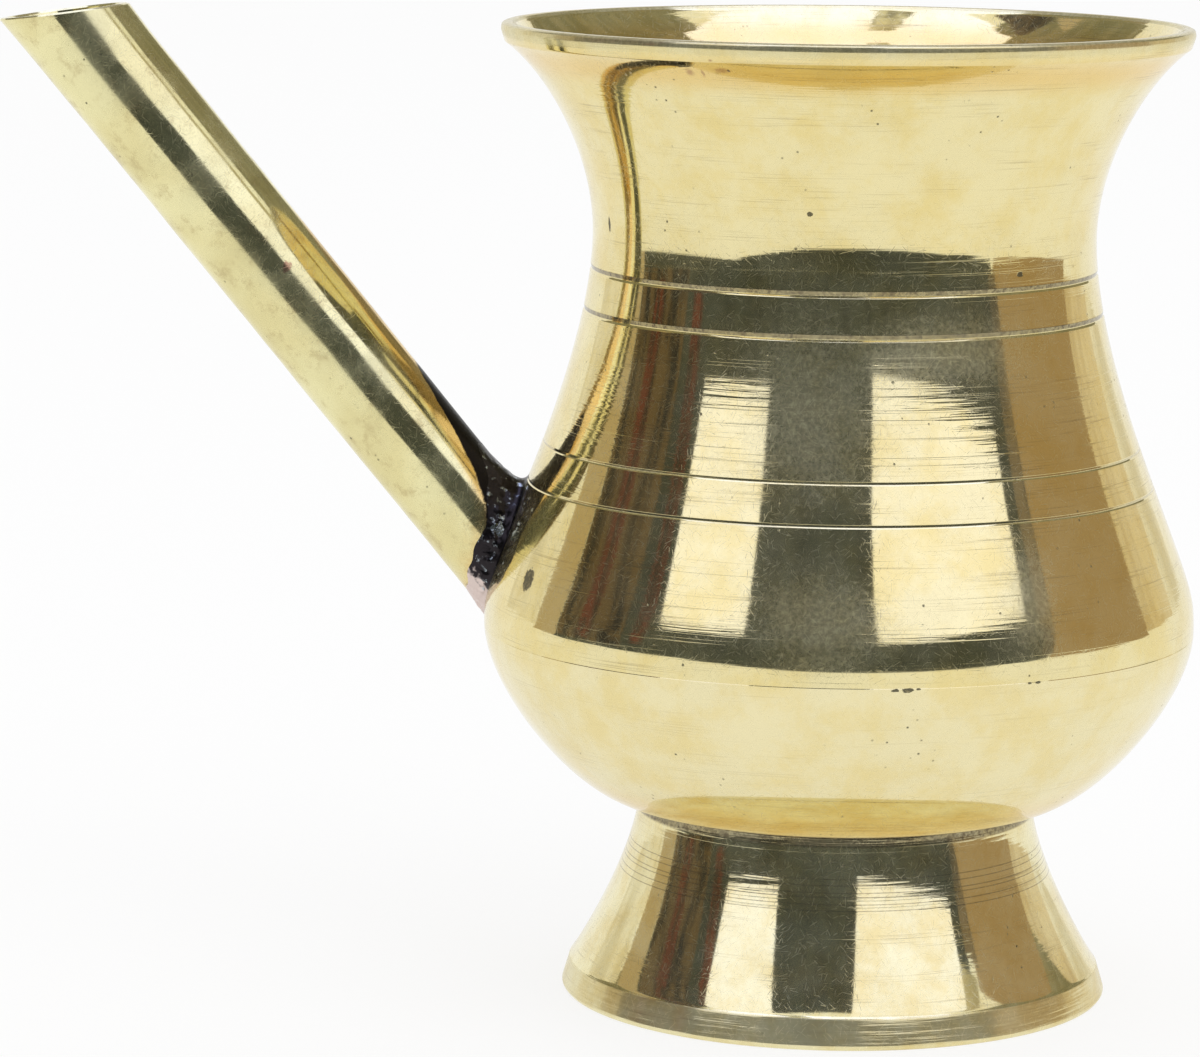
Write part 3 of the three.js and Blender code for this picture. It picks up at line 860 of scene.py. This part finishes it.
def spout_braze():
    """The lumpy fillet round the spout's root, high in the crotch and thin underneath."""
    around, across = 200, 22
    start, sunk = SPOUT_ROOT_RADIUS + 0.03, 0.4
    lean = Vector((0, 0, 0.5))
    rings, copper, edge = [], [], []
    for i in range(around):
        angle = 2 * math.pi * i / around
        crotch = (1 + math.cos(angle)) / 2
        side = math.sin(angle) ** 2
        way = Vector((math.cos(angle), math.sin(angle), 0))
        lumps = 1 + 0.22 * noise.noise(way * 2.6)
        ends = CLIMB_TOP * crotch + CLIMB_BOTTOM * (1 - crotch)
        climb = (ends * (1 - side) + CLIMB_SIDE * side) * lumps
        skirt = SKIRT_BOTTOM + (SKIRT_TOP - SKIRT_BOTTOM) * crotch ** 6
        ring = []
        for j in range(across + 1):
            share = j / across
            radius = start + skirt * share ** 2
            up = leaves_body(radius, angle) + climb * (1 - share) ** 2
            point = spout_point(radius, angle, up)
            swell = noise.noise(point * 0.8) * 0.3 + noise.noise(point * 1.9) * 0.14
            swell *= math.sin(math.pi * min(share * 1.2 + 0.05, 1)) * (1 - 0.6 * crotch ** 4)
            outward = SPOUT_FRAME.to_3x3() @ (way + lean)
            ring.append(point + outward * swell)
        for share in (1.0, 0.5, 0.0):
            radius = start + skirt * share ** 2
            ring.append(spout_point(radius, angle, leaves_body(radius, angle) - sunk))
        rings.append(ring)
        copper += [(1 - crotch) ** 3] * len(ring)
        # The edge mark carries a painted highlight line along the skirt where it meets the body
        edge += [0.0] * across + [1.0] * (len(ring) - across)
    return skin("spout_braze_lumps", rings, JOINT_BRAZE, {"copper": copper, "edge": edge})


def set_piece(piece, slot, *nodes):
    """Sets a finished piece on the part, in the place of the solids of some nodes."""
    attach(piece, "root")
    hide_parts(*nodes)


set_piece(upper_body(), "body", "upper_body", "belly_braze")
set_piece(lower_bowl(), "body", "lower_bowl")
set_piece(foot(), "foot", "foot")
set_piece(foot_ring(), "braze", "foot_braze")
set_piece(spout(), "spout", "spout_tube")
set_piece(spout_braze(), "braze", "spout_braze")


def seen_or_reflected(s):
    """1 for what the camera sees, straight, in metal or through glass, and 0 for light on the floor."""
    path = s.node("ShaderNodeLightPath", output="Is Camera Ray")
    seen = path.math("MAXIMUM", path.out("Is Glossy Ray"))
    return seen.math("MAXIMUM", path.out("Is Transmission Ray"))


def table():
    """The pale table that the vessel stands on, which keeps a faint shadow."""
    reach, white_share = 6, 0.8
    material, s = new_material("pale table")
    lit = s.node("ShaderNodeBsdfPrincipled", Base_Color=(0.93, 0.93, 0.92, 1), Roughness=0.7)
    white = s.node("ShaderNodeEmission", Color=(1, 1, 1, 1), Strength=1.0)
    s.finish(s.node("ShaderNodeMixShader", n0=seen_or_reflected(s) * white_share, n1=lit, n2=white))
    mesh = bpy.data.meshes.new("table")
    corners = [(-reach, -reach, 0), (reach, -reach, 0), (reach, reach, 0), (-reach, reach, 0)]
    mesh.from_pydata(corners, [], [(0, 1, 2, 3)])
    plain_piece("table", mesh, material)


def glow(name, colour, other=None, size=0.4):
    """A plain glow, or one that wanders between two colours in upright streaks of a size in metres."""
    material, s = new_material(name)
    shade = (*colour, 1)
    if other:
        place = s.vector("MULTIPLY", object_place(s), (1, 1, 0.25))
        streaks = s.noise(place, size, 3.0, 0.6).rise(0.4, 0.62)
        shade = s.mix(streaks, colour, other)
    s.finish(s.node("ShaderNodeEmission", Color=shade, Strength=1.0))
    return material


# The elevations of the studio's walls are taken from this point in the vessel
STUDIO_CENTRE = Vector((AXIS_X, 0, 60)) * MM


def only_reflected(piece):
    """Leaves a piece of the studio out of everything but the reflections in the metal."""
    piece.visible_camera = False
    piece.visible_diffuse = False
    piece.visible_transmission = False
    piece.visible_volume_scatter = False
    piece.visible_shadow = False


def reflected_card(name, low, high, material):
    """A curved card that shows in the polished metal and nowhere else.

    Its low and high edges each run from one corner to another, a corner being a bearing in degrees from
    the camera's side, growing to the right, a distance and a height."""
    steps = 24
    verts, faces = [], []
    for start, end in (low, high):
        for i in range(steps + 1):
            bearing, distance, height = (a + (b - a) * i / steps for a, b in zip(start, end))
            turn = math.radians(bearing)
            verts.append((math.sin(turn) * distance + AXIS_X * MM, -math.cos(turn) * distance, height))
    for i in range(steps):
        faces.append((i, i + 1, steps + 2 + i, steps + 1 + i))
    mesh = bpy.data.meshes.new(name)
    mesh.from_pydata(verts, [], faces)
    only_reflected(plain_piece(name, mesh, material))


def wall(name, span, heights, distance, material, high_span=None):
    """An upright card between bearings, with elevations for its low and high edges, each at both ends."""
    corners = []
    for bearings, elevations in ((span, heights[:2]), (high_span or span, heights[2:])):
        rises = [STUDIO_CENTRE.z + distance * math.tan(math.radians(e)) for e in elevations]
        corners.append([(bearing, distance, rise) for bearing, rise in zip(bearings, rises)])
    reflected_card(name, *corners, material)


def overhead(name, span, far, near, height, material):
    """A level card over the vessel, between two bearings and two distances."""
    edges = [[(bearing, distance, height) for bearing in span] for distance in (far, near)]
    reflected_card(name, *edges, material)


def floor_card(name, corners, material):
    """A card that shows in the metal as the floor beyond the table's edge, from corners about the axis."""
    mesh = bpy.data.meshes.new(name)
    points = [(x + AXIS_X * MM, y, 1 * MM) for x, y in corners]
    mesh.from_pydata(points, [], [tuple(range(len(points)))])
    only_reflected(plain_piece(name, mesh, material))


def studio():
    """What the metal mirrors: two tall windows in a dark curtain, shelves, walls, ceiling and floor.

    A wall's numbers are the bearings of its ends, the elevations of its low and high edges at each end,
    and its distance in metres. The table's far edge hides what lies below the elevation called low."""
    low = -1.5
    dark = glow("dark curtain", (0.048, 0.055, 0.055), (0.062, 0.072, 0.07))
    shelf = glow("brown shelf", (0.13, 0.095, 0.06), (0.03, 0.028, 0.027), 0.3)
    red = glow("red books", (0.14, 0.045, 0.03), (0.04, 0.035, 0.03), 0.15)
    window = glow("window", (1.22, 1.24, 1.45))
    ceiling = glow("ceiling", (1.4, 1.52, 2.3))
    shade = glow("shaded ceiling", (0.3, 0.3, 0.27), (0.8, 0.8, 0.75))
    brown = glow("brown wall", (0.38, 0.28, 0.17))
    edge = glow("edge of the brown wall", (0.2, 0.16, 0.12), (0.1, 0.09, 0.08))
    tan = glow("tan wall", (0.5, 0.42, 0.3))
    gold = glow("straw wall", (0.9, 0.88, 0.83), (0.74, 0.7, 0.6), 0.8)
    cream = glow("cream wall", (0.78, 0.69, 0.54), (0.63, 0.53, 0.39))
    olive = glow("olive wall", (0.2, 0.195, 0.13), (0.29, 0.27, 0.19))
    back = glow("back wall", (0.3, 0.27, 0.2))
    strip = glow("olive strip", (0.4, 0.36, 0.24), (0.55, 0.5, 0.36))
    wall("dark_curtain", (-101.5, 74), (low, low, 50, 50), 5.5, dark, (-104, 74))
    wall("brown_shelf", (-101, -73), (low, low, 55, 55), 5.4, shelf, (-104, -78))
    wall("red_books", (-70, -65), (6, 6, 50, 50), 5.3, red)
    wall("brown_books", (-93, -87), (2, 2, 50, 50), 5.35, red)
    wall("left_window", (-61, -31.3), (19.4, 22.7, 57, 57), 5.0, window, (-75, -33))
    wall("right_window", (13.5, 66.5), (20.8, 22.6, 57, 57), 5.0, window, (10, 79))
    wall("brown_edge", (67.5, 71), (low, low, 30, 30), 5.2, edge, (73, 79))
    wall("brown_wall", (70, 117), (low, low, 34, 36), 5.3, brown, (78, 117))
    wall("olive_strip", (67, 77), (32, 32, 50, 50), 5.25, strip, (70, 80))
    wall("cream_wall", (117, 137), (low, low, 14, 14), 5.3, cream)
    wall("pale_wall", (137, 152), (low, low, 14, 14), 5.3, gold)
    wall("tan_wall", (-113, -101.5), (low, low, 45, 45), 5.3, tan, (-115, -104))
    wall("straw_wall", (-135, -113), (low, low, 22, 22), 5.35, gold, (-135, -115))
    wall("right_olive_wall", (90, 165), (14, 14, 60, 60), 5.6, olive)
    wall("left_olive_wall", (-145, -88), (20, 20, 58, 58), 5.6, olive)
    wall("back_wall", (100, 262), (26, 26, 58, 58), 5.75, back)
    overhead("ceiling", (-180, 180), 3.0, 0.02, 4.9, ceiling)
    overhead("shaded_ceiling", (-39, -18), 2.8, 1.2, 4.7, shade)
    floor_card("dark_floor", [
        (1, -0.4), (-0.12, -0.42), (-0.85, -0.69), (-0.9, 0.18),
        (-5.4, 1.1), (-4.5, -3.1), (0, -5.5), (5.2, -1.9),
    ], dark)
    floor_card("brown_floor", [(1, -0.36), (5, -1.82), (4.7, 2.4), (1, 0.51)], brown)
    floor_card("tan_floor", [(-0.9, 0.18), (-1, 0.43), (-4.9, 2.1), (-5.3, 1.08)], tan)


def lights():
    """A white surround that also shows behind the vessel, and one large soft lamp."""
    surround = 0.92
    world = bpy.data.worlds.new("white surround")
    bpy.context.scene.world = world
    world.use_nodes = True
    world.node_tree.nodes.clear()
    s = Nodes(world.node_tree)
    strength = seen_or_reflected(s) * (1 - surround) + surround
    white = s.node("ShaderNodeBackground", Color=(1, 1, 1, 1), Strength=strength)
    s.node("ShaderNodeOutputWorld", Surface=white)
    lamp = bpy.data.lights.new("soft lamp", "AREA")
    lamp.shape = "RECTANGLE"
    lamp.size = lamp.size_y = 1.4
    lamp.energy = 8.0
    holder = bpy.data.objects.new("soft lamp", lamp)
    holder.location = (0.9, -0.9, 1.6)
    holder.rotation_euler = (Vector((0, 0, 0)) - holder.location).to_track_quat("-Z", "Y").to_euler()
    holder.visible_glossy = False
    bpy.context.scene.collection.objects.link(holder)


def camera():
    """The camera, on the photograph's side of the vessel and turned as its own was."""
    place = Vector((AXIS_X, -534.1, 130.9)) * MM
    yaw, pitch, roll = math.radians(-2.646), math.radians(8.842), math.radians(0.545)
    lens = bpy.data.cameras.new("camera")
    lens.sensor_width = 36
    lens.lens = 157.24
    eye = bpy.data.objects.new("camera", lens)
    turn = (
        Matrix.Rotation(-yaw, 4, "Z")
        @ Matrix.Rotation(math.pi / 2 - pitch, 4, "X")
        @ Matrix.Rotation(roll, 4, "Z")
    )
    eye.matrix_world = Matrix.Translation(place) @ turn
    bpy.context.scene.collection.objects.link(eye)
    bpy.context.scene.camera = eye


table()
studio()
lights()
camera()
bpy.context.scene.view_settings.view_transform = "Standard"
